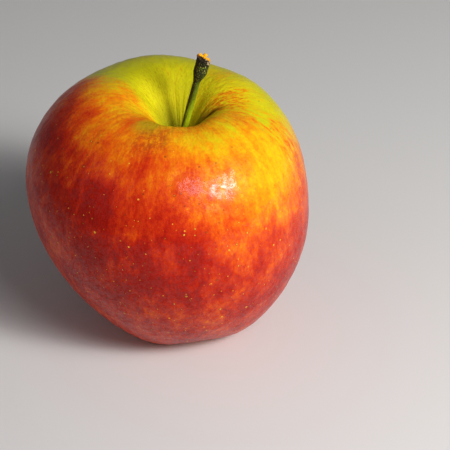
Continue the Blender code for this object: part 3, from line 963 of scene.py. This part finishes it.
draw = random.Random(STAMEN_SEED)
tuft = bmesh.new()
for k in range(STAMENS):
    turn = k * GOLDEN_TURN
    spread = Vector((math.cos(turn), math.sin(turn), 0)) * math.sqrt((k + 0.5) / STAMENS)
    sway = Vector((draw.uniform(-1, 1), draw.uniform(-1, 1), 0)) * STAMEN_SWAY
    splay = draw.uniform(*STAMEN_SPLAY)
    hang = draw.uniform(*STAMEN_HANG)
    root = CORE + spread * STAMEN_ROOT_SPREAD + Vector((0, 0, basin_floor + STAMEN_ROOT_RISE))
    end = CORE + spread * splay + Vector((0, 0, basin_floor - hang))
    below_root = root - Vector((0, 0, STAMEN_ROOT_PULL))
    above_end = end + Vector((0, 0, STAMEN_TIP_PULL))
    thread = (root, below_root, above_end + sway, end + sway)
    rings = []
    for step in range(STAMEN_STEPS + 1):
        share = step / STAMEN_STEPS
        middle = Vector(bezier(thread, share))
        head = math.exp(-((share - HEAD_SHARE) / HEAD_LENGTH) ** 2)
        radius = STAMEN_RADIUS * (1 - STAMEN_TAPER * share) + (HEAD_RADIUS - STAMEN_RADIUS) * head
        turns = [-math.tau * j / STAMEN_SIDES for j in range(STAMEN_SIDES)]
        rings.append([middle + Vector((radius * math.cos(t), radius * math.sin(t), 0)) for t in turns])
    one = solid_from_rings("thread", root, rings, end + sway)
    tuft.from_mesh(one.data)
    bpy.data.objects.remove(one)
tuft_mesh = bpy.data.meshes.new("calyx_stamens")
tuft.to_mesh(tuft_mesh)
tuft.free()
tuft_mesh.shade_smooth()
stamens = placed("calyx_stamens", tuft_mesh)

withered_thread, shader, start, where = new_finish("withered_thread")
wither = grain(start, where, 0.0004, 2.0, 0.6)
feed(shader, "Base Color", wither.between(0.35, 0.65).colour_mix(THREAD_BROWN, THREAD_TAN))
feed(shader, "Roughness", 0.6 + 0.3 * wither)
stamens.data.materials.append(withered_thread)
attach(stamens, "root")

# The floor and the light
# A plain pale floor that rises into a pale wall far behind. The soft key light stands at the front right,
# with a small bright heart, a wider glow round it and a weaker lamp beside it, and a wide fill at the left.
FLOOR_HALF = 1.6
FLOOR_BEND = 0.9
BEND_RADIUS = 0.5
WALL_HEIGHT = 1.4
BEND_STEPS = 12
FLOOR_COLOUR = (0.72, 0.71, 0.695, 1.0)
SURROUND = (0.92, 0.95, 1.0, 1.0)
SURROUND_STRENGTH = 0.12
LIT_HEIGHT = 0.0344
LIT_POINT = CORE + Vector((0, 0, LIT_HEIGHT))

# A lamp's name, its place, its width and height in metres, its watts and its colour
LAMPS = (
    ("key_heart", (0.378, -0.313, 0.393), (0.08, 0.10), 0.9, (1.0, 1.0, 0.99)),
    ("key", (0.390, -0.322, 0.404), (0.19, 0.225), 2.3, (1.0, 0.99, 0.98)),
    ("key_glow", (0.370, -0.350, 0.400), (0.28, 0.30), 0.5, (1.0, 0.98, 0.97)),
    ("key_beside", (0.195, -0.372, 0.492), (0.14, 0.20), 0.60, (1.0, 0.96, 0.98)),
    ("fill", (-0.60, -0.30, 0.45), (0.60, 0.60), 0.30, (0.95, 0.97, 1.0)),
)


def face_towards(thing, target):
    """Turn a camera or a lamp so that it looks at the target, level."""
    thing.rotation_mode = "QUATERNION"
    thing.rotation_quaternion = (target - thing.location).to_track_quat("-Z", "Y")


turns = [math.pi / 2 * step / BEND_STEPS for step in range(BEND_STEPS + 1)]
bend = [(FLOOR_BEND + math.sin(turn) * BEND_RADIUS, (1 - math.cos(turn)) * BEND_RADIUS) for turn in turns]
side_view = [(-FLOOR_HALF, 0.0), *bend, (FLOOR_BEND + BEND_RADIUS, WALL_HEIGHT)]
floor_points = [(x, y, z) for y, z in side_view for x in (-FLOOR_HALF, FLOOR_HALF)]
floor_faces = [(2 * i, 2 * i + 1, 2 * i + 3, 2 * i + 2) for i in range(len(side_view) - 1)]
floor_mesh = bpy.data.meshes.new("floor")
floor_mesh.from_pydata(floor_points, [], floor_faces)
floor_mesh.shade_smooth()
floor = placed("floor", floor_mesh)
pale_floor, shader = new_finish("pale_floor")[:2]
shader.inputs["Base Color"].default_value = FLOOR_COLOUR
shader.inputs["Roughness"].default_value = 0.75
shader.inputs["Specular IOR Level"].default_value = 0.2
floor_mesh.materials.append(pale_floor)

for lamp_name, place, lamp_size, watts, colour in LAMPS:
    lamp_data = bpy.data.lights.new(lamp_name, "AREA")
    lamp_data.shape = "RECTANGLE"
    lamp_data.size, lamp_data.size_y = lamp_size
    lamp_data.energy = watts
    lamp_data.color = colour
    lamp = placed(lamp_name, lamp_data)
    lamp.location = place
    face_towards(lamp, LIT_POINT)

surround = bpy.data.worlds.new("surround")
surround.use_nodes = True
surround.node_tree.nodes["Background"].inputs["Color"].default_value = SURROUND
surround.node_tree.nodes["Background"].inputs["Strength"].default_value = SURROUND_STRENGTH
bpy.context.scene.world = surround
bpy.context.scene.view_settings.view_transform = "Standard"

# The camera
# It looks down on the apple's front, level, through a long lens. The fruit stands left of the middle of
# the picture and a little above it.
LOOK_DOWN = math.radians(34)
CAMERA_DISTANCE = 0.45
AIM_RIGHT = 0.0127
AIM_DOWN = 0.00525
LENS = 130.5
SENSOR = 36.0
NEAREST_SEEN = 0.01

towards_camera = Vector((0, -math.cos(LOOK_DOWN), math.sin(LOOK_DOWN)))
camera_up = Vector((0, math.sin(LOOK_DOWN), math.cos(LOOK_DOWN)))
camera_data = bpy.data.cameras.new("camera")
camera_data.lens = LENS
camera_data.sensor_width = SENSOR
camera_data.clip_start = NEAREST_SEEN
camera = placed("camera", camera_data)
camera.location = LIT_POINT + towards_camera * CAMERA_DISTANCE
face_towards(camera, LIT_POINT + Vector((AIM_RIGHT, 0, 0)) - camera_up * AIM_DOWN)
bpy.context.scene.camera = camera
